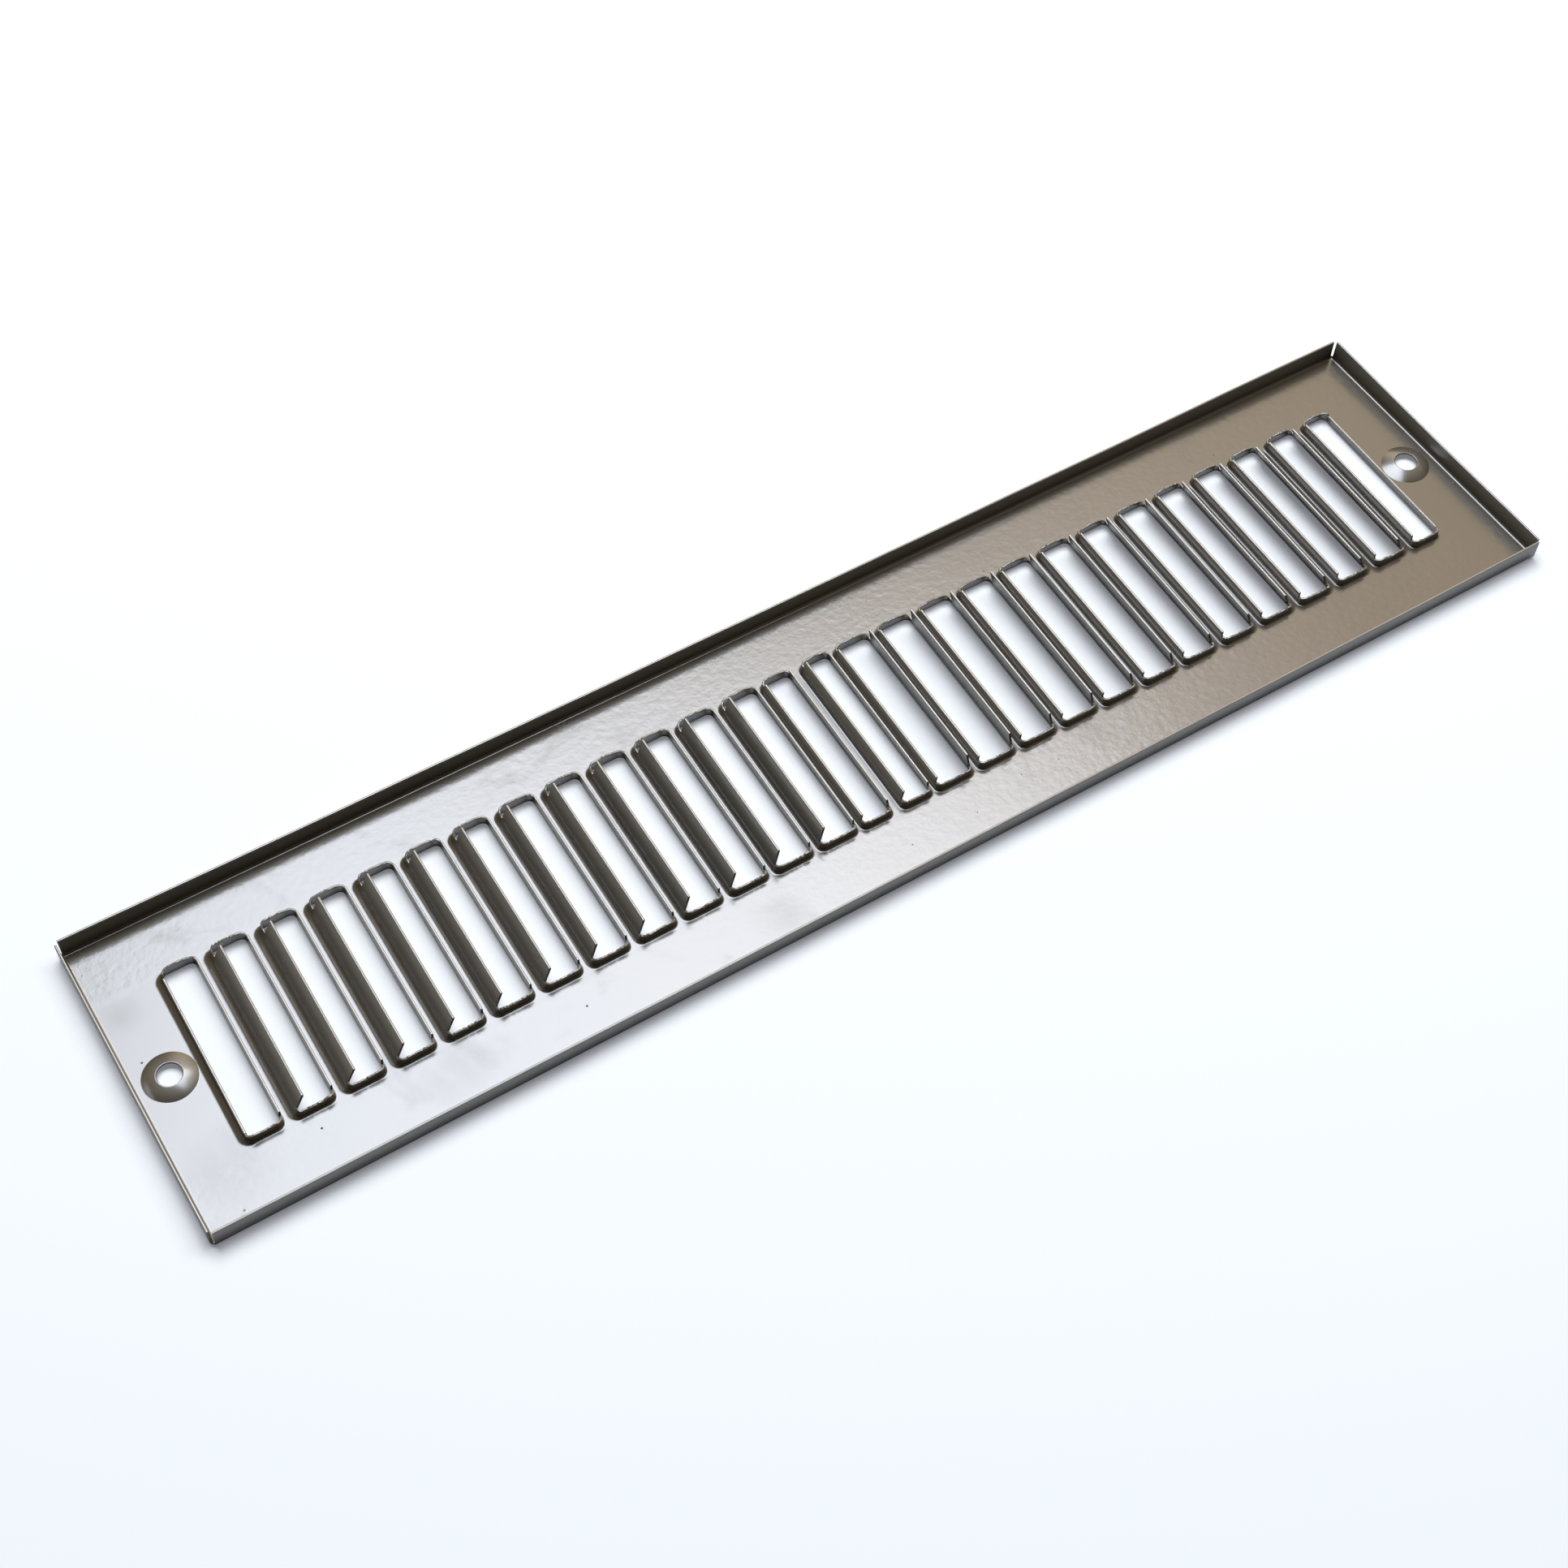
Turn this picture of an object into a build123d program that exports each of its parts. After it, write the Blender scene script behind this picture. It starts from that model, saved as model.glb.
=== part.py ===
"""Toe kick register face: one pressed and folded sheet of painted steel.

The finished face lies on the XY plane and looks down (-Z). The flanges, the louvre
fins and the lips around the openings all rise toward the duct (+Z). The origin is
the middle of the face and the long side runs along X.
"""

from build123d import *

import os
from math import cos, radians, sin, sqrt, tan

os.makedirs("parts", exist_ok=True)

# Sheet and the plain borders around the field of openings
sheet = 0.6
end_border = 18.15
side_border = 18.2

# Folded flanges
flange_height = 6.35
flange_bend = 0.8
corner_gap = 1.0

# Louvre bars
bar_pitch = 12.7
bars_per_side = 12
first_fin_bar = 23.4
narrow_bar = 10.9
last_opening = 9.25
opening_width = 49.3
blade_length = 45.4

# Fins, the tall blades: pressed two rows at a time, each pair leaning more than the last
rows_per_stroke = 2
fin_strip = 8.2
fin_flat = 0.35
fin_lean = 8.0
fin_lean_step = 3.0
fin_bend = 0.7
fin_bend_step = 0.32

# Lips, the short blades on the other edge of each bar
lip_strip = 4.37
lip_flat = 0.35
lip_lean = 7.5
lip_lean_step = 1.5
lip_bend = 0.5

# The three middle bars have even walls
middle_strip = 5.63
middle_flat = 1.0
middle_lean = 11.0
middle_bend = 0.3
narrow_strip = 4.37
narrow_flat = 0.25
narrow_lean = 9.0
narrow_bend = 0.3

# Rims at the ends of the openings, torn lower at the corners
rim_height = 3.6
rim_corner_height = 2.6
rim_bend = 0.5
rim_corner = 1.0
rim_shoulder = 0.4
rim_slope = 1.3

# Lips at the two ends of the field
side_lip_height = 2.5
side_lip_bend = 1.8

# Screw seats
screw_inset = 9.5
screw_hole = 5.6
seat_diameter = 12.8
seat_rise = 0.95

# Sizes that follow
last_bar = first_fin_bar + bar_pitch * (bars_per_side - 1)
half_field_length = last_bar + last_opening
half_field_width = opening_width / 2
half_length = half_field_length + end_border
half_width = half_field_width + side_border
half_blade = blade_length / 2
screw_spacing = 2 * (half_length - screw_inset)
rim_outside = rim_bend + sheet
side_lip_outside = side_lip_bend + sheet
flange_outside = flange_bend + sheet
bend_flat = 2 - sqrt(2)
bar_sides = (("left", -1), ("right", 1))


def wall(strip, flat, lean, bend):
    """One blade of a bar: its cut strip, half floor, lean from upright and inside bend."""
    return {"strip": strip, "flat": flat, "turn": 90 - lean, "bend": bend}


def foot(blade):
    """Distance from the valley of a bar to the line where floor and blade would meet."""
    return blade["flat"] + (blade["bend"] + sheet) * tan(radians(blade["turn"] / 2))


def fin_bar(row):
    """Bar of one row: its fin stands toward the middle, its lip toward the end."""
    stroke = row // rows_per_stroke
    fin = wall(
        fin_strip,
        fin_flat,
        fin_lean + fin_lean_step * stroke,
        fin_bend + fin_bend_step * stroke,
    )
    lip = wall(lip_strip, lip_flat, lip_lean - lip_lean_step * stroke, lip_bend)
    return {"x": first_fin_bar + bar_pitch * row, "left": fin, "right": lip}


def flipped(bar):
    """The same bar on the other side of the middle."""
    return {"x": -bar["x"], "left": bar["right"], "right": bar["left"]}


def all_bars():
    """Every bar from left to right."""
    middle_wall = wall(middle_strip, middle_flat, middle_lean, middle_bend)
    narrow_wall = wall(narrow_strip, narrow_flat, narrow_lean, narrow_bend)
    middle = {"x": 0.0, "left": middle_wall, "right": middle_wall}
    narrow = {"x": narrow_bar, "left": narrow_wall, "right": narrow_wall}
    right_side = [narrow] + [fin_bar(row) for row in range(bars_per_side)]
    return [flipped(bar) for bar in reversed(right_side)] + [middle] + right_side


def all_openings(bars):
    """Every opening from left to right: its two side faces and the valleys beside it."""
    left = [-half_field_length] + [bar["x"] + foot(bar["right"]) for bar in bars]
    right = [bar["x"] - foot(bar["left"]) for bar in bars] + [half_field_length]
    valleys = [bar["x"] for bar in bars]
    left_valleys = [-half_field_length - rim_outside] + valleys
    right_valleys = valleys + [half_field_length + rim_outside]
    return list(zip(left, right, left_valleys, right_valleys))


def half_channel(blade, side):
    """Half of a bar section, drawn from its valley out to the free edge of the blade."""
    bend, turn, flat = blade["bend"], blade["turn"], blade["flat"]
    middle_radius = bend + sheet / 2
    straight = blade["strip"] - middle_radius * radians(turn)
    along = Vector(cos(radians(turn)), sin(radians(turn)))
    across = Vector(-along.Y, along.X)
    outer_start = Vector(flat, 0)
    outer_end = Vector(flat + (bend + sheet) * along.Y, (bend + sheet) * (1 - along.X))
    inner_end = outer_end + across * sheet
    with BuildSketch(Plane.XZ) as section:
        with BuildLine():
            Line((0, 0), outer_start)
            TangentArc(outer_start, outer_end, tangent=(1, 0))
            Polyline(outer_end, outer_end + along * straight, inner_end + along * straight, inner_end)
            TangentArc((flat, sheet), inner_end, tangent=(1, 0))
            Polyline((flat, sheet), (0, sheet), (0, 0))
        make_face()
        if side < 0:
            mirror(about=Plane.YZ, mode=Mode.REPLACE)
    return section.sketch


def lip_section(height, bend):
    """Upturned lip with its opening at the left, standing on the line where x = 0."""
    outside = bend + sheet
    with BuildSketch() as section:
        with BuildLine():
            TangentArc((outside, 0), (0, outside), tangent=(-1, 0))
            Polyline((0, outside), (0, height), (sheet, height), (sheet, outside))
            TangentArc((outside, sheet), (sheet, outside), tangent=(-1, 0))
            Line((outside, sheet), (outside, 0))
        make_face()
    return section.sketch


def rim_section():
    """Section of a rim: as a lip's, with one 45 degree flat that touches the round of the bend."""
    with BuildSketch() as section:
        Rectangle(rim_outside, sheet, align=(Align.MIN, Align.MIN))
        Rectangle(sheet, rim_height, align=(Align.MIN, Align.MIN))
        outer_corner = section.vertices().sort_by_distance((0, 0))[0]
        chamfer(outer_corner, length=rim_outside * bend_flat)
        inner_corner = section.vertices().sort_by_distance((sheet, sheet))[0]
        chamfer(inner_corner, length=rim_bend * bend_flat)
    return section.sketch


def end_outline(left, right):
    """Outline of one end of an opening, with its two cut corners."""
    return (
        (left, half_blade),
        (left, half_field_width - rim_corner),
        (left + rim_corner, half_field_width),
        (right - rim_corner, half_field_width),
        (right, half_field_width - rim_corner),
        (right, half_blade),
    )


def opening_outline(left, right):
    """Outline of a whole opening."""
    end = end_outline(left, right)
    return end + tuple((x, -y) for x, y in reversed(end))


def end_rim(profile, left, right, left_valley, right_valley):
    """Rim around one end of an opening: full height on the lip, low at the corners."""
    shoulder = rim_corner + rim_shoulder
    with BuildPart() as rim:
        with BuildLine():
            Polyline(*end_outline(left, right))
        with BuildSketch(Plane((left, half_blade, 0), x_dir=(-1, 0, 0), z_dir=(0, 1, 0))):
            add(profile)
        sweep(transition=Transition.RIGHT)
        with BuildSketch(Plane.XZ):
            Polygon(
                (left_valley, 0),
                (left_valley, rim_corner_height),
                (left + shoulder, rim_corner_height),
                (left + shoulder + rim_slope, rim_height),
                (right - shoulder - rim_slope, rim_height),
                (right - shoulder, rim_corner_height),
                (right_valley, rim_corner_height),
                (right_valley, 0),
                align=None,
            )
        extrude(amount=-half_width, mode=Mode.INTERSECT)
    return rim.part


bars = all_bars()
openings = all_openings(bars)
bar_halves = [(bar["x"], half_channel(bar[name], side)) for bar in bars for name, side in bar_sides]
right_lip = lip_section(side_lip_height, side_lip_bend)
left_lip = right_lip.mirror(Plane.YZ)
flange_profile = lip_section(flange_height, flange_bend)
rim_profile = rim_section()
rims = [end_rim(rim_profile, *opening) for opening in openings]

with BuildPart() as bar_row:
    with BuildSketch(Plane.XZ.offset(-half_blade)):
        for x, half in bar_halves:
            with Locations((x, 0)):
                add(half)
    extrude(amount=blade_length)

with BuildPart() as side_lips:
    with BuildSketch(Plane.XZ.offset(-half_blade)):
        with Locations((-half_field_length, 0)):
            add(left_lip)
        with Locations((half_field_length, 0)):
            add(right_lip)
    extrude(amount=blade_length)

with BuildPart() as end_rims:
    for rim in rims:
        add(rim)
    mirror(about=Plane.XZ)

with BuildPart() as flanges:
    for length, across, turn in ((half_length, half_width, 0), (half_width, half_length, 90)):
        with BuildSketch(Plane.YZ.offset(-length)):
            with Locations((-across, 0)):
                add(flange_profile)
        flange = extrude(amount=2 * length, mode=Mode.PRIVATE)
        fold = across - flange_outside
        with BuildSketch():
            Polygon(
                (-length + flange_outside, -fold),
                (-length + corner_gap, -across + corner_gap),
                (-length + corner_gap, -across),
                (length - corner_gap, -across),
                (length - corner_gap, -across + corner_gap),
                (length - flange_outside, -fold),
                align=None,
            )
        blank = extrude(amount=flange_height, mode=Mode.PRIVATE)
        with Locations(Rotation(0, 0, turn), Rotation(0, 0, turn + 180)):
            add(flange & blank)

with BuildPart() as screw_seats:
    with BuildSketch(Plane.XZ):
        Polygon(
            (screw_hole / 2, seat_rise),
            (seat_diameter / 2, 0),
            (seat_diameter / 2, sheet),
            (screw_hole / 2, seat_rise + sheet),
            align=None,
        )
    seat = revolve(axis=Axis.Z, mode=Mode.PRIVATE)
    with GridLocations(screw_spacing, 0, 2, 1):
        add(seat)

with BuildPart() as register_plate:
    with BuildSketch():
        Rectangle(2 * (half_length - flange_outside), 2 * (half_width - flange_outside))
        Rectangle(2 * (half_field_length + side_lip_outside), blade_length, mode=Mode.SUBTRACT)
        for left, right, _, _ in openings:
            window = Polygon(*opening_outline(left, right), align=None, mode=Mode.PRIVATE)
            offset(window, amount=rim_outside, kind=Kind.INTERSECTION, mode=Mode.SUBTRACT)
        with GridLocations(screw_spacing, 0, 2, 1):
            Circle(seat_diameter / 2, mode=Mode.SUBTRACT)
    extrude(amount=sheet)
    for pressed in (bar_row, side_lips, end_rims, flanges, screw_seats):
        add(pressed.part)

register_plate.part.label = "register_plate"
export_step(register_plate.part, "parts/register_plate.step")
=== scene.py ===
"""Toe kick register lying face down on a pale table, seen from its duct side."""

import math

import bmesh
import bpy
from mathutils import Matrix, Vector, noise


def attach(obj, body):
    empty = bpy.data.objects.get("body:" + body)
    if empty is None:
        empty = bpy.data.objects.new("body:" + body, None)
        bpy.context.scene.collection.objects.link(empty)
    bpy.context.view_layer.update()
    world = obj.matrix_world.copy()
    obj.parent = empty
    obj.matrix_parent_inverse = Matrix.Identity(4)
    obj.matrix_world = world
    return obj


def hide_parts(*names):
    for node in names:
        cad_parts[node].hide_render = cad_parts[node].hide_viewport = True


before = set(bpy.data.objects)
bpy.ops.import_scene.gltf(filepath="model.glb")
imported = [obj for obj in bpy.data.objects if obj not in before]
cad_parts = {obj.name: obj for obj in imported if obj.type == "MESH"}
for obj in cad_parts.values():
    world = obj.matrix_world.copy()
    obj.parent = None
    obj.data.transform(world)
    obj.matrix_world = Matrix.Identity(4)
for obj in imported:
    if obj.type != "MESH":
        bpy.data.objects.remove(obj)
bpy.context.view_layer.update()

# Pressed sheet: one blank of mild steel, about 0.6 mm, sheared, pierced and folded in one tool.
# Everything below is in millimetres until the mesh is scaled. A pressed edge is a grid: its
# columns follow the edge, its rows go round the bend, over the sheared top and back.
MILLIMETRE = 0.001
SHEET = 0.6
FLAT_LEAD = 0.05
BEND_ROWS = 5
LEAD_ROWS = 2
LEAD_TURN = math.radians(9)
LEAST_TURN = 0.1
TOP_ROWS = ((0.0, 0.2), (0.07, 0.07), (0.22, 0.0), (0.78, 0.0), (0.93, 0.07), (1.0, 0.2))

plate = bmesh.new()
# Per-vertex lightness of the sheared tops: partly thin paint, partly a painted highlight.
worn_and_sheen_layer = plate.verts.layers.float.new("worn_and_sheen")


def section(bend, turn, strip, lead, burr, worn_and_sheen):
    """(reach, height), worn_and_sheen of each row, from the underside of the flat round to its top.

    lead is the stretch before the bend where the sheet already rises a little. burr is how much
    the far side of the sheared top stays behind. worn_and_sheen is how much lighter that top is
    painted: partly thin paint over the steel, partly a painted highlight along the edge."""
    radius = bend + SHEET
    middle = bend + SHEET / 2
    angle = max(min(turn, strip / middle) - LEAD_TURN, LEAST_TURN)
    straight = max(strip - middle * turn, 0.0)
    place = Vector((-FLAT_LEAD - lead, 0))
    lead_run = lead + radius * math.sin(LEAD_TURN)
    runs = [(FLAT_LEAD, 0.0)]
    runs += [(lead_run / LEAD_ROWS, LEAD_TURN / LEAD_ROWS)] * LEAD_ROWS
    runs += [(radius * angle / BEND_ROWS, angle / BEND_ROWS)] * BEND_ROWS
    runs += [(straight, 0.0)]
    path = [(place, 0.0)]
    heading = 0.0
    for length, change in runs:
        mean = heading + change / 2
        place = place + Vector((math.cos(mean), math.sin(mean))) * length
        heading += change
        path.append((place, heading))
    along = Vector((math.cos(heading), math.sin(heading)))
    across = Vector((-along.y, along.x))
    rows = [(p, 0.0) for p, _ in path[:-1]]
    for part, drop in TOP_ROWS:
        rows.append((place + across * SHEET * part - along * (drop + burr * part), worn_and_sheen))
    for p, a in reversed(path[:-1]):
        rows.append((p + Vector((-math.sin(a), math.cos(a))) * SHEET, 0.0))
    return rows


def pressed_edge(stations):
    """Grid of one closed pressed edge. A station is where the bend starts, and its section."""
    columns = stations + stations[:1]
    rows = [section(**station["section"]) for station in columns]
    grid = bmesh.ops.create_grid(
        plate, x_segments=len(columns) - 1, y_segments=len(rows[0]) - 1, size=1.0
    )["verts"]
    for index, vert in enumerate(grid):
        row, column = divmod(index, len(columns))
        station = columns[column]
        (reach, height), worn_and_sheen = rows[column][row]
        normal = station["normal"]
        slide = station.get("skew", 0.0) * min(max(reach, 0.0), 1.0)
        tangent = Vector((-normal.y, normal.x))
        place = station["point"] + normal * reach + tangent * slide
        vert.co = (place.x, place.y, height)
        vert[worn_and_sheen_layer] = worn_and_sheen


# Louvre bars: what is left of the sheet between two openings, a channel with a tall fin on one
# edge and a short lip on the other. The press forms two rows in a stroke, and each stroke leans
# its fins a little more and bends them rounder. The three bars in the middle have even walls.
PITCH = 12.7
FIRST_FIN_BAR = 23.4
NARROW_BAR = 10.9
HALF_FIELD_LENGTH = 172.35
ROWS_PER_SIDE = 12
ROWS_PER_STROKE = 2
FIN_STRIP = 8.2
FIN_LEAN = 11
FIN_LEAN_STEP = 3
FIN_BEND = 0.7
FIN_BEND_STEP = 0.32
LIP_STRIP = 4.37
LIP_LEAN = 4.5
LIP_LEAN_STEP = 1.5
LIP_BEND = 0.5
HALF_FLOOR = 0.35
RIGHT_ANGLE = math.pi / 2


def blade(strip, flat, lean, bend):
    """Long side of an opening: cut strip, half floor of its bar, lean and inside bend."""
    turn = math.radians(90 - lean)
    reach = (bend + SHEET) * math.tan(turn / 2)
    return {"strip": strip, "turn": turn, "bend": bend, "flat": flat, "reach": reach}


def strip_for(height, bend):
    """Cut strip of an upright rim of a certain height."""
    middle = bend + SHEET / 2
    rise = height - SHEET / 2
    if rise < middle:
        return middle * math.acos(1 - rise / middle)
    return rise - middle + middle * RIGHT_ANGLE


middle_wall = blade(5.63, 1.0, 11, 0.3)
narrow_wall = blade(LIP_STRIP, 0.25, 9, 0.3)
bars = [(0.0, middle_wall, middle_wall)]
bars += [(NARROW_BAR, narrow_wall, narrow_wall), (-NARROW_BAR, narrow_wall, narrow_wall)]
for row in range(ROWS_PER_SIDE):
    stroke = row // ROWS_PER_STROKE
    fin_lean = FIN_LEAN + FIN_LEAN_STEP * stroke
    fin = blade(FIN_STRIP, HALF_FLOOR, fin_lean, FIN_BEND + FIN_BEND_STEP * stroke)
    lip = blade(LIP_STRIP, HALF_FLOOR, LIP_LEAN - LIP_LEAN_STEP * stroke, LIP_BEND)
    valley = FIRST_FIN_BAR + PITCH * row
    bars += [(valley, fin, lip), (-valley, lip, fin)]
bars.sort(key=lambda bar: bar[0])
left_lip = blade(strip_for(2.5, 1.8), 0.0, 0, 1.8)
right_lip = blade(strip_for(2.8, 0.5), 0.0, 0, 0.5)

sides_left = [(-HALF_FIELD_LENGTH, left_lip)]
sides_left += [(x + right["flat"] + right["reach"], right) for x, left, right in bars]
sides_right = [(x - left["flat"] - left["reach"], left) for x, left, right in bars]
sides_right += [(HALF_FIELD_LENGTH, right_lip)]

# Openings: each is pierced and its rim turned up toward the duct in one stroke. The long sides
# are the fin of one bar and the lip of the next. The ends and corners tear as they stretch, so
# the rim is ragged there, and it drops where the blades were nicked free of it.
NEAR_CORNER = 1.1
FAR_CORNER = 1.4
END_BEND = 0.5
END_LEAD = 0.4
SIDE_LEAD = 0.18
NEAR_END = -23.95
FAR_END = 24.8
FIN_ENDS = (-22.7, 22.2)
LIP_ENDS = (-22.5, 23.1)
FULL_FIN = 6.0
SLANT = 0.016
SIDE_STEPS = 12
END_STEPS = 22
CORNER_STEPS = 6

COARSE_TEAR = 0.2
FINE_TEAR = 0.14
NOTCH_TEAR = 1.3
NOTCH_START = 0.25
CORNER_TEAR = 0.8
CORNER_EASE = 0.7
BURR = 0.05
BURR_CHANGE = 0.2

NEAR_RIM = 3.0
NEAR_BOW = 0.25
FAR_RIM = 3.75
FAR_BOW = 0.35
FAR_DROP = 0.5
FAR_DROP_START = -10
FAR_DROP_RUN = 60
TORN_CORNER = 2.7
FAR_LIP_CORNER = 3.5
LEAST_RIM = 1.2
STUB_DROP = 0.2
NICK = 0.03
TOP_CORNER = 0.12
BLADE_WAVE = 0.05

# How much lighter the sheared tops are painted: partly wear of the paint, partly a painted
# highlight on the edges.
PAINTED = 0.0
STUB_WEAR_AND_SHEEN = 0.3
RIM_WEAR_AND_SHEEN = 0.5
BLADE_WEAR_AND_SHEEN = 1.0


def rim_station(x, y, normal, side, weight, strip, burr=0.0, worn_and_sheen=RIM_WEAR_AND_SHEEN):
    """A station given by its place on the upright rim, blended between a side and an end."""
    end_reach = END_BEND + SHEET
    reach = end_reach + (side["reach"] - end_reach) * weight
    return {
        "point": Vector((x + SLANT * y, y)) - normal * reach,
        "normal": normal,
        "section": {
            "bend": END_BEND + (side["bend"] - END_BEND) * weight,
            "turn": RIGHT_ANGLE + (side["turn"] - RIGHT_ANGLE) * weight,
            "strip": strip,
            "lead": END_LEAD + (SIDE_LEAD - END_LEAD) * weight,
            "burr": burr,
            "worn_and_sheen": worn_and_sheen,
        },
    }


def ragged(x, y, waves, seed):
    """Seeded smooth noise with a certain number of waves per millimetre."""
    return noise.noise(Vector((x * waves, y * waves, seed)))


def tear(x, y, seed):
    """Ragged change of height along a torn edge, with a notch here and there."""
    coarse = ragged(x, y, 0.7, seed)
    fine = ragged(x, y, 3.3, seed + 40)
    notch = max(ragged(x, y, 1.9, seed + 80) - NOTCH_START, 0.0)
    return COARSE_TEAR * coarse + FINE_TEAR * fine - NOTCH_TEAR * notch


def end_height(x, end, part):
    """Height of a rim across an end, part of the way from its left corner to its right."""
    bow = (2 * part - 1) ** 2
    if end < 0:
        return NEAR_RIM + NEAR_BOW * bow
    drop = min(max((x - FAR_DROP_START) / FAR_DROP_RUN, 0.0), 1.0)
    tall = FAR_RIM - FAR_DROP * drop
    return tall - FAR_BOW * bow


def corner_height(end, side):
    """Height of the rim where a corner meets a side: torn low beside a fin."""
    if end > 0 and side["strip"] < FULL_FIN:
        return FAR_LIP_CORNER
    return TORN_CORNER


def side_stations(x, side, facing, seed):
    """Long side from its near to its far end: low stub, full blade, low stub."""
    normal = Vector((facing, 0))
    near, far = FIN_ENDS if side["strip"] > FULL_FIN else LIP_ENDS
    full = side["strip"]
    near_low, far_low = (
        min(strip_for(corner_height(end, side), side["bend"]), full - STUB_DROP)
        for end in (-1, 1)
    )
    places = [(NEAR_END + NEAR_CORNER, near_low, STUB_WEAR_AND_SHEEN)]
    places += [(near - 2 * NICK, near_low, PAINTED)]
    places += [(near - NICK, full - TOP_CORNER, PAINTED)]
    for k in range(SIDE_STEPS + 1):
        y = near + (far - near) * k / SIDE_STEPS
        wave = BLADE_WAVE * noise.noise(Vector((x * 0.3, y * 0.05, seed)))
        places.append((y, full + wave, BLADE_WEAR_AND_SHEEN))
    places += [(far + NICK, full - TOP_CORNER, PAINTED)]
    places += [(far + 2 * NICK, far_low, PAINTED)]
    places += [(FAR_END - FAR_CORNER, far_low, STUB_WEAR_AND_SHEEN)]
    return [rim_station(x, y, normal, side, 1.0, strip, 0.0, worn_and_sheen) for y, strip, worn_and_sheen in places]


def corner_stations(centre, radius, start, side, seed, rising):
    """Corner arc. rising tells whether it turns from a side into an end."""
    stations = []
    end = math.copysign(1, centre.y)
    low = corner_height(end, side)
    for k in range(1, CORNER_STEPS):
        part = k / CORNER_STEPS
        angle = start + RIGHT_ANGLE * part
        outward = Vector((math.cos(angle), math.sin(angle)))
        weight = 1 - part if rising else part
        height = low + (end_height(centre.x, end, 0.0) - low) * (1 - weight) ** CORNER_EASE
        height += CORNER_TEAR * tear(centre.x + part, centre.y, seed)
        bend = END_BEND + (side["bend"] - END_BEND) * weight
        strip = strip_for(max(height, LEAST_RIM), bend)
        place = centre + radius * outward
        stations.append(rim_station(place.x, place.y, -outward, side, weight, strip, BURR))
    return stations


def end_stations(x_start, x_stop, end, seed):
    """Ragged lip across one end."""
    normal = Vector((0, -math.copysign(1, end)))
    stations = []
    for k in range(END_STEPS + 1):
        part = k / END_STEPS
        x = x_start + (x_stop - x_start) * part
        height = end_height(x, end, part) + tear(x, end, seed)
        burr = BURR + BURR_CHANGE * noise.noise(Vector((x * 2.3, end, seed + 7)))
        strip = strip_for(height, END_BEND)
        stations.append(rim_station(x, end, normal, left_lip, 0.0, strip, burr))
    return stations


for number, ((x_left, left), (x_right, right)) in enumerate(zip(sides_left, sides_right)):
    seed = 3.7 * number
    loop = side_stations(x_right, right, -1, seed)
    low, high = x_left + FAR_CORNER, x_right - FAR_CORNER
    y = FAR_END - FAR_CORNER
    loop += corner_stations(Vector((high, y)), FAR_CORNER, 0, right, seed, True)
    loop += end_stations(high, low, FAR_END, seed)
    loop += corner_stations(Vector((low, y)), FAR_CORNER, RIGHT_ANGLE, left, seed + 1, False)
    loop += list(reversed(side_stations(x_left, left, 1, seed + 2)))
    low, high = x_left + NEAR_CORNER, x_right - NEAR_CORNER
    y = NEAR_END + NEAR_CORNER
    loop += corner_stations(Vector((low, y)), NEAR_CORNER, 2 * RIGHT_ANGLE, left, seed + 3, True)
    loop += end_stations(low, high, NEAR_END, seed + 4)
    loop += corner_stations(Vector((high, y)), NEAR_CORNER, 3 * RIGHT_ANGLE, right, seed + 5, False)
    pressed_edge(loop)

# Flanges: the four borders of the blank, folded up square. Their corners are notched first, so
# an open slit stays between two flanges, down to a scrap of turned-up sheet at the bend.
HALF_LENGTH = 190.49
HALF_WIDTH = 42.84
FLANGE_BEND = 0.8
FLANGE_HEIGHT = 6.35
FLANGE_STEP = 6.0
FLANGE_BOW = 0.5
FLANGE_WAVE = 0.25
FLANGE_WAVES = 0.03
FLANGE_LEAD = 0.1
FLANGE_BURR = 0.02
# The flange top is painted lighter too: partly wear, partly a painted highlight.
FLANGE_WEAR_AND_SHEEN = 0.7
SLIT_SKEW = 0.4
NOTCH_STEPS = 6
NOTCH_STRIP = 1.2
fold_x = HALF_LENGTH - FLANGE_BEND - SHEET
fold_y = HALF_WIDTH - FLANGE_BEND - SHEET


def fold_station(point, normal, skew, strip, burr, worn_and_sheen):
    """A station on the fold of the outer border, skewed where it narrows to a slit."""
    return {
        "point": point,
        "normal": normal,
        "skew": skew,
        "section": {
            "bend": FLANGE_BEND,
            "turn": RIGHT_ANGLE,
            "strip": strip,
            "lead": FLANGE_LEAD,
            "burr": burr,
            "worn_and_sheen": worn_and_sheen,
        },
    }


def flange_stations(start, stop, normal, seed):
    """One folded side, from corner to corner, with its top a little wavy."""
    run = stop - start
    count = max(int(run.length / FLANGE_STEP), 2)
    stations = []
    for k in range(count + 1):
        part = k / count
        point = start + run * part
        bow = FLANGE_BOW * math.sin(math.pi * part) * run.length / (2 * HALF_LENGTH)
        wave = FLANGE_WAVE * ragged(point.x, point.y, FLANGE_WAVES, seed)
        strip = strip_for(FLANGE_HEIGHT - bow + wave, FLANGE_BEND)
        skew = SLIT_SKEW if k == count else (-SLIT_SKEW if k == 0 else 0.0)
        stations.append(fold_station(point, normal, skew, strip, FLANGE_BURR, FLANGE_WEAR_AND_SHEEN))
    return stations


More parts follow.
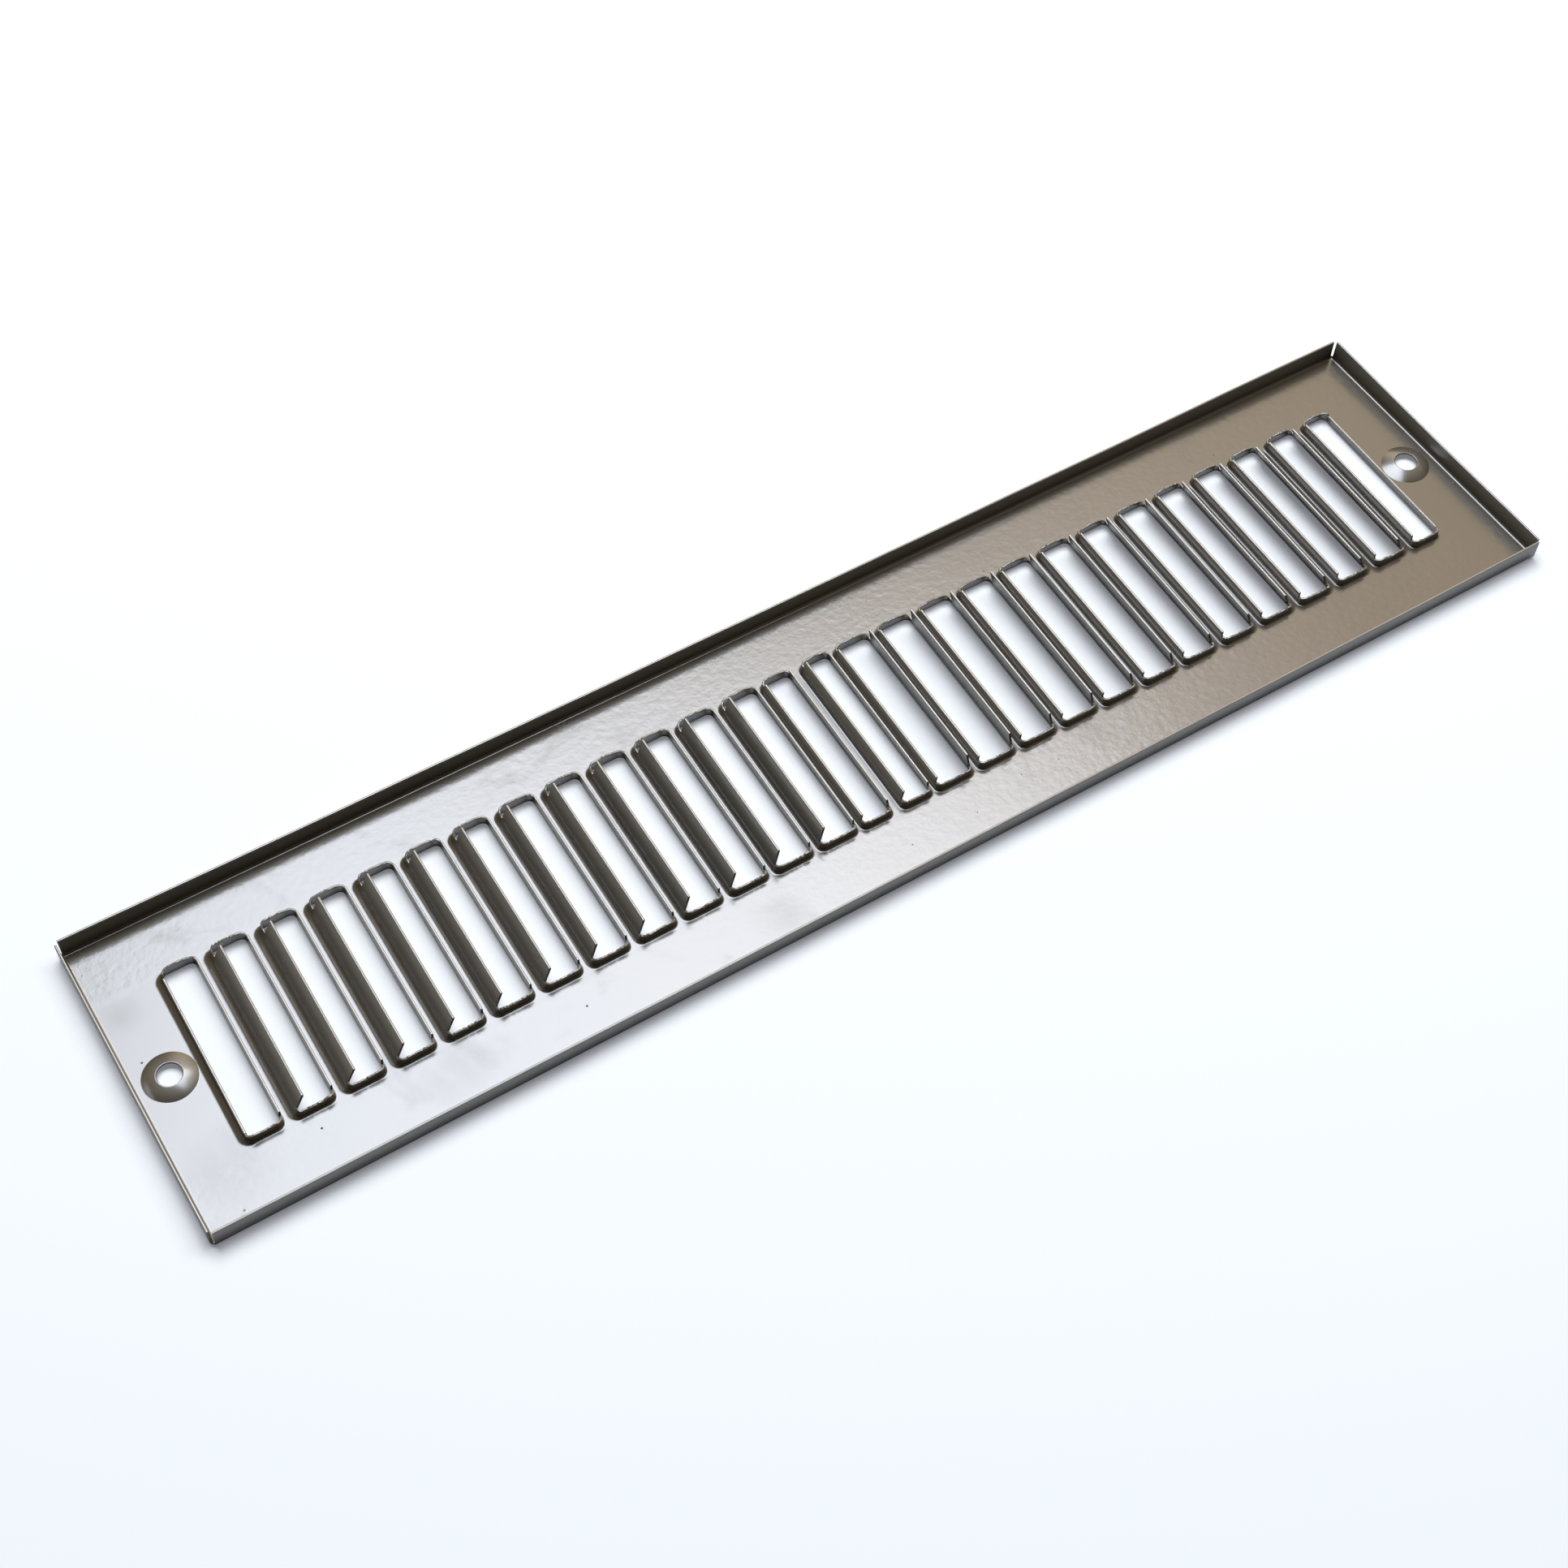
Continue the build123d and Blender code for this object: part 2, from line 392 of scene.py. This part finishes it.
def notch_stations(corner, start):
    """Turned-up scrap of a corner between two flanges."""
    stations = []
    for k in range(NOTCH_STEPS + 1):
        angle = start + RIGHT_ANGLE * k / NOTCH_STEPS
        normal = Vector((math.cos(angle), math.sin(angle)))
        skew = SLIT_SKEW * (1 - 2 * k / NOTCH_STEPS)
        stations.append(fold_station(corner, normal, skew, NOTCH_STRIP, 0.0, RIM_WEAR_AND_SHEEN))
    return stations


corners = [Vector((fold_x * a, fold_y * b)) for a, b in ((-1, -1), (1, -1), (1, 1), (-1, 1))]
outward = [Vector((0, -1)), Vector((1, 0)), Vector((0, 1)), Vector((-1, 0))]
border = []
for k in range(4):
    border += flange_stations(corners[k], corners[(k + 1) % 4], outward[k], 5.0 * k)
    border += notch_stations(corners[(k + 1) % 4], (k - 1) * RIGHT_ANGLE)
pressed_edge(border)

# Screw seats: two round holes on the centre line, each in a shallow cone that is pressed toward
# the duct, so that the head of a sheet-metal screw sinks into the face.
SCREW_X = 181.2
SEAT_RADIUS = 6.6
SEAT_STEPS = 64
SEAT_SECTION = {
    "bend": 0.5,
    "turn": math.radians(22.5),
    "strip": 3.9,
    "lead": 0.05,
    "burr": 0.0,
    "worn_and_sheen": 0.3,
}
for side in (-1, 1):
    seat = []
    for k in range(SEAT_STEPS):
        angle = -2 * math.pi * k / SEAT_STEPS
        spoke = Vector((math.cos(angle), math.sin(angle)))
        point = Vector((side * SCREW_X, 0)) + spoke * SEAT_RADIUS
        seat.append({"point": point, "normal": -spoke, "section": SEAT_SECTION})
    pressed_edge(seat)

# The sheet between the pressed edges: its two flat faces are filled from edge to edge, so that
# the whole register is one closed skin. It stands for the solid of the same piece.
WELD = 0.0005
FLAT_TOLERANCE = 0.001
SHARP_EDGE = math.radians(40)
bmesh.ops.remove_doubles(plate, verts=plate.verts, dist=WELD)
for height in (0.0, SHEET):
    edges = [
        edge
        for edge in plate.edges
        if edge.is_boundary and abs(edge.verts[0].co.z - height) < FLAT_TOLERANCE
    ]
    bmesh.ops.triangle_fill(plate, use_beauty=False, use_dissolve=False, edges=edges)
bmesh.ops.recalc_face_normals(plate, faces=plate.faces)
bmesh.ops.scale(plate, vec=(MILLIMETRE,) * 3, verts=plate.verts)
plate_mesh = bpy.data.meshes.new("register_sheet")
plate.to_mesh(plate_mesh)
plate.free()
plate_mesh.shade_smooth()
plate_mesh.set_sharp_from_angle(angle=SHARP_EDGE)
register_sheet = bpy.data.objects.new("register_sheet", plate_mesh)
bpy.context.scene.collection.objects.link(register_sheet)
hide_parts("register_plate")
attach(register_sheet, "root")

# Enamel: a dark tan coat, sprayed and baked, and glossy enough to mirror the lamps and the room.
# It has a faint orange peel, dust nibs, wiped haze and a few fingermarks. The sheared edges are
# painted lighter: partly thin paint where the steel shows through, partly a painted highlight.
ENAMEL_COLOUR = (0.085, 0.068, 0.046)
# Colour of the sheared tops: thin paint over steel, and also a painted highlight.
THIN_PAINT_AND_HIGHLIGHT_COLOUR = (0.36, 0.33, 0.28, 1)
GLOSS_TINT = (0.915, 0.94, 1.0, 1)
GLOSS_INDEX = 1.65
CLEAN_ROUGHNESS = 0.235
HAZY_ROUGHNESS = 0.29
CLEAN_GLOSS = 1.0
HAZY_GLOSS = 0.86
MOTTLING = 0.07
SMUDGES = (
    (-0.178, -0.027, 0.012),
    (-0.126, -0.032, 0.010),
    (-0.041, -0.035, 0.009),
    (-0.184, 0.020, 0.006),
)
enamel = bpy.data.materials.new("tan_enamel")
enamel.use_nodes = True
coat = enamel.node_tree
shader = coat.nodes["Principled BSDF"]
shader.inputs["Specular Tint"].default_value = GLOSS_TINT
shader.inputs["IOR"].default_value = GLOSS_INDEX
coords = coat.nodes.new("ShaderNodeTexCoord")
on_plate = coords.outputs["Object"]


def texture(kind, scale, **inputs):
    """Pattern on the plate, its scale in features per metre."""
    node = coat.nodes.new(kind)
    coat.links.new(on_plate, node.inputs["Vector"])
    node.inputs["Scale"].default_value = scale
    for name, value in inputs.items():
        node.inputs[name].default_value = value
    return node


def bump(height, distance, strength, below=None):
    """Bump of a height pattern, over another bump if there is one."""
    node = coat.nodes.new("ShaderNodeBump")
    coat.links.new(height, node.inputs["Height"])
    node.inputs["Distance"].default_value = distance
    node.inputs["Strength"].default_value = strength
    if below:
        coat.links.new(below, node.inputs["Normal"])
    return node.outputs["Normal"]


def remap(tree, source, low, high, to_low, to_high):
    """A value spread from one range to another, clamped."""
    node = tree.nodes.new("ShaderNodeMapRange")
    tree.links.new(source, node.inputs["Value"])
    limits = {"From Min": low, "From Max": high, "To Min": to_low, "To Max": to_high}
    for name, value in limits.items():
        node.inputs[name].default_value = value
    return node.outputs["Result"]


def combine(tree, operation, *values):
    """One or two values through one operation."""
    node = tree.nodes.new("ShaderNodeMath")
    node.operation = operation
    for socket, value in zip(node.inputs, values):
        tree.links.new(value, socket)
    return node.outputs["Value"]


def tint(tree, factor, low, high):
    """Colour between two, by a factor."""
    node = tree.nodes.new("ShaderNodeMix")
    node.data_type = "RGBA"
    tree.links.new(factor, node.inputs["Factor"])
    for socket, value in ((node.inputs["A"], low), (node.inputs["B"], high)):
        if isinstance(value, tuple):
            socket.default_value = value
        else:
            tree.links.new(value, socket)
    return node.outputs["Result"]


place = coat.nodes.new("ShaderNodeSeparateXYZ")
coat.links.new(on_plate, place.inputs["Vector"])
far_out = combine(coat, "ABSOLUTE", place.outputs["Y"])
border_only = remap(coat, far_out, 0.0245, 0.0265, 0.2, 1.0)
orange_peel = texture("ShaderNodeTexNoise", 560.0, Detail=2.0, Roughness=0.5)
raised = combine(coat, "MULTIPLY", orange_peel.outputs["Fac"], border_only)
waves = texture("ShaderNodeTexNoise", 130.0, Detail=1.0)
dust = texture("ShaderNodeTexVoronoi", 150.0)
nibs = remap(coat, dust.outputs["Distance"], 0.0, 0.04, 1.0, 0.0)
normal = bump(waves.outputs["Fac"], 0.0006, 0.02)
normal = bump(raised, 0.0004, 0.1, normal)
normal = bump(nibs, 0.0002, 0.7, normal)
coat.links.new(normal, shader.inputs["Normal"])

smears = texture("ShaderNodeTexNoise", 42.0, Detail=5.0, Roughness=0.6, Distortion=0.6)
haze = remap(coat, smears.outputs["Fac"], 0.56, 0.72, 0.0, 1.0)
patchy = remap(coat, smears.outputs["Fac"], 0.35, 0.55, 0.05, 0.55)
for x, y, radius in SMUDGES:
    away = coat.nodes.new("ShaderNodeVectorMath")
    away.operation = "DISTANCE"
    coat.links.new(on_plate, away.inputs[0])
    away.inputs[1].default_value = (x, y, SHEET * MILLIMETRE)
    smudge = remap(coat, away.outputs["Value"], 0.3 * radius, radius, 1.0, 0.0)
    haze = combine(coat, "MAXIMUM", haze, combine(coat, "MULTIPLY", smudge, patchy))
roughness = remap(coat, haze, 0.0, 1.0, CLEAN_ROUGHNESS, HAZY_ROUGHNESS)
coat.links.new(roughness, shader.inputs["Roughness"])
gloss = remap(coat, haze, 0.0, 1.0, CLEAN_GLOSS, HAZY_GLOSS)
coat.links.new(gloss, shader.inputs["Specular IOR Level"])

clouds = texture("ShaderNodeTexNoise", 26.0, Detail=3.0)
mottled = tint(
    coat,
    remap(coat, clouds.outputs["Fac"], 0.3, 0.7, 0.0, 1.0),
    tuple((1 - MOTTLING) * c for c in ENAMEL_COLOUR) + (1,),
    tuple((1 + MOTTLING) * c for c in ENAMEL_COLOUR) + (1,),
)
# Sheared tops mixed toward the light colour: partly wear, partly a painted highlight.
worn_and_sheen = coat.nodes.new("ShaderNodeAttribute")
worn_and_sheen.attribute_name = "worn_and_sheen"
coated = tint(coat, worn_and_sheen.outputs["Fac"], mottled, THIN_PAINT_AND_HIGHLIGHT_COLOUR)
coat.links.new(coated, shader.inputs["Base Color"])
plate_mesh.materials.append(enamel)

# Table: matt white paper on a flat top, a hair under the face so that the two don't touch. The
# camera and the gloss see it white. It throws less light back up than that, so that the fins stay
# dark, and it glows for the camera farther out, where the lamps don't reach.
TABLE_SIZE = 3.0
TABLE_DROP = 0.00002
table_mesh = bpy.data.meshes.new("table")
top = bmesh.new()
bmesh.ops.create_grid(top, x_segments=1, y_segments=1, size=TABLE_SIZE)
top.to_mesh(table_mesh)
top.free()
table = bpy.data.objects.new("table", table_mesh)
table.location.z = -TABLE_DROP
bpy.context.scene.collection.objects.link(table)
paper = bpy.data.materials.new("table_paper")
paper.use_nodes = True
paper_tree = paper.node_tree
matt = paper_tree.nodes["Principled BSDF"]
matt.inputs["Roughness"].default_value = 0.9
matt.inputs["Specular IOR Level"].default_value = 0.0
matt.inputs["Emission Color"].default_value = (0.86, 0.90, 1, 1)
seen = paper_tree.nodes.new("ShaderNodeLightPath")
to_camera, to_gloss = seen.outputs["Is Camera Ray"], seen.outputs["Is Glossy Ray"]
looked_at = combine(paper_tree, "MAXIMUM", to_camera, to_gloss)
tone = tint(paper_tree, looked_at, (0.28, 0.28, 0.28, 1), (0.89, 0.90, 0.91, 1))
paper_tree.links.new(tone, matt.inputs["Base Color"])
spot = paper_tree.nodes.new("ShaderNodeTexCoord")
reach = paper_tree.nodes.new("ShaderNodeVectorMath")
reach.operation = "LENGTH"
paper_tree.links.new(spot.outputs["Object"], reach.inputs[0])
glow = remap(paper_tree, reach.outputs["Value"], 0.35, 1.3, 0.20, 0.95)
lift = combine(paper_tree, "MULTIPLY", glow, to_camera)
paper_tree.links.new(lift, matt.inputs["Emission Strength"])
table_mesh.materials.append(paper)

# Room: plain and pale to the camera, and nearly dark as light, so that the lamps alone light the
# plate. Only glossy rays see the warm wall on the right, far side, which gives the right half of
# the enamel its tan.
PALE_ROOM = (0.95, 0.98, 1, 1)
ROOM_LIGHT = 0.03
WARM_WALL = (1.52, 1.19, 0.83, 1)
world = bpy.data.worlds.new("studio")
bpy.context.scene.world = world
world.use_nodes = True
room = world.node_tree
ray = room.nodes.new("ShaderNodeLightPath")
pale = room.nodes["Background"]
pale.inputs["Color"].default_value = PALE_ROOM
level = remap(room, ray.outputs["Is Camera Ray"], 0.0, 1.0, ROOM_LIGHT, 1.0)
room.links.new(level, pale.inputs["Strength"])
direction = room.nodes.new("ShaderNodeTexCoord")
split = room.nodes.new("ShaderNodeSeparateXYZ")
room.links.new(direction.outputs["Generated"], split.inputs["Vector"])
near_edge = remap(room, split.outputs["X"], 0.15, 0.44, 0.1, 1.35)
fade = remap(room, split.outputs["X"], 0.49, 0.58, 1.0, 0.72)
far_side = remap(room, split.outputs["Y"], 0.0, 0.32, 0.12, 1.0)
glare = combine(room, "MULTIPLY", combine(room, "MULTIPLY", near_edge, fade), far_side)
wall = room.nodes.new("ShaderNodeBackground")
wall.inputs["Color"].default_value = WARM_WALL
room.links.new(glare, wall.inputs["Strength"])
choice = room.nodes.new("ShaderNodeMixShader")
room.links.new(ray.outputs["Is Glossy Ray"], choice.inputs["Fac"])
room.links.new(pale.outputs["Background"], choice.inputs[1])
room.links.new(wall.outputs["Background"], choice.inputs[2])
room.links.new(choice.outputs["Shader"], room.nodes["World Output"].inputs["Surface"])

# Lamps: a large softbox, turned on its own axis, whose reflection is the pale left half of the
# plate, and a smaller key on the right, which casts the shadows and isn't mirrored.
LAMP_COLOUR = (0.92, 0.96, 1.0)
LAMPS = (
    ("softbox", Vector((0.135, 0.525, 1.40)), 0.95, 7.7, math.radians(70)),
    ("key", Vector((0.80, 0.05, 1.20)), 0.5, 5.4, 0.0),
)
for name, stand, size, radiance, roll in LAMPS:
    lamp_data = bpy.data.lights.new(name, "AREA")
    lamp_data.shape = "SQUARE"
    lamp_data.size = size
    lamp_data.energy = radiance * math.pi * size ** 2
    lamp_data.color = LAMP_COLOUR
    lamp = bpy.data.objects.new(name, lamp_data)
    aim = (-stand).to_track_quat("-Z", "Y").to_matrix().to_4x4()
    lamp.matrix_world = Matrix.Translation(stand) @ aim @ Matrix.Rotation(roll, 4, "Z")
    lamp.visible_glossy = name == "softbox"
    bpy.context.scene.collection.objects.link(lamp)

# Camera: above the near left corner, looking along the plate. Its place, its three directions
# and its lens were fitted to the plate's four corners.
CAMERA_PLACE = Vector((-0.21417, -0.29018, 0.50004))
CAMERA_RIGHT = Vector((0.8483, -0.5288, 0.0258))
CAMERA_UP = Vector((0.4222, 0.7050, 0.5698))
CAMERA_BACK = Vector((-0.3195, -0.4725, 0.8213))
camera_data = bpy.data.cameras.new("camera")
camera_data.lens = 56.805
camera_data.sensor_width = 36.0
camera = bpy.data.objects.new("camera", camera_data)
turn = Matrix((CAMERA_RIGHT, CAMERA_UP, CAMERA_BACK)).transposed().to_4x4()
camera.matrix_world = Matrix.Translation(CAMERA_PLACE) @ turn
bpy.context.scene.collection.objects.link(camera)
bpy.context.scene.camera = camera
bpy.context.scene.view_settings.view_transform = "Standard"
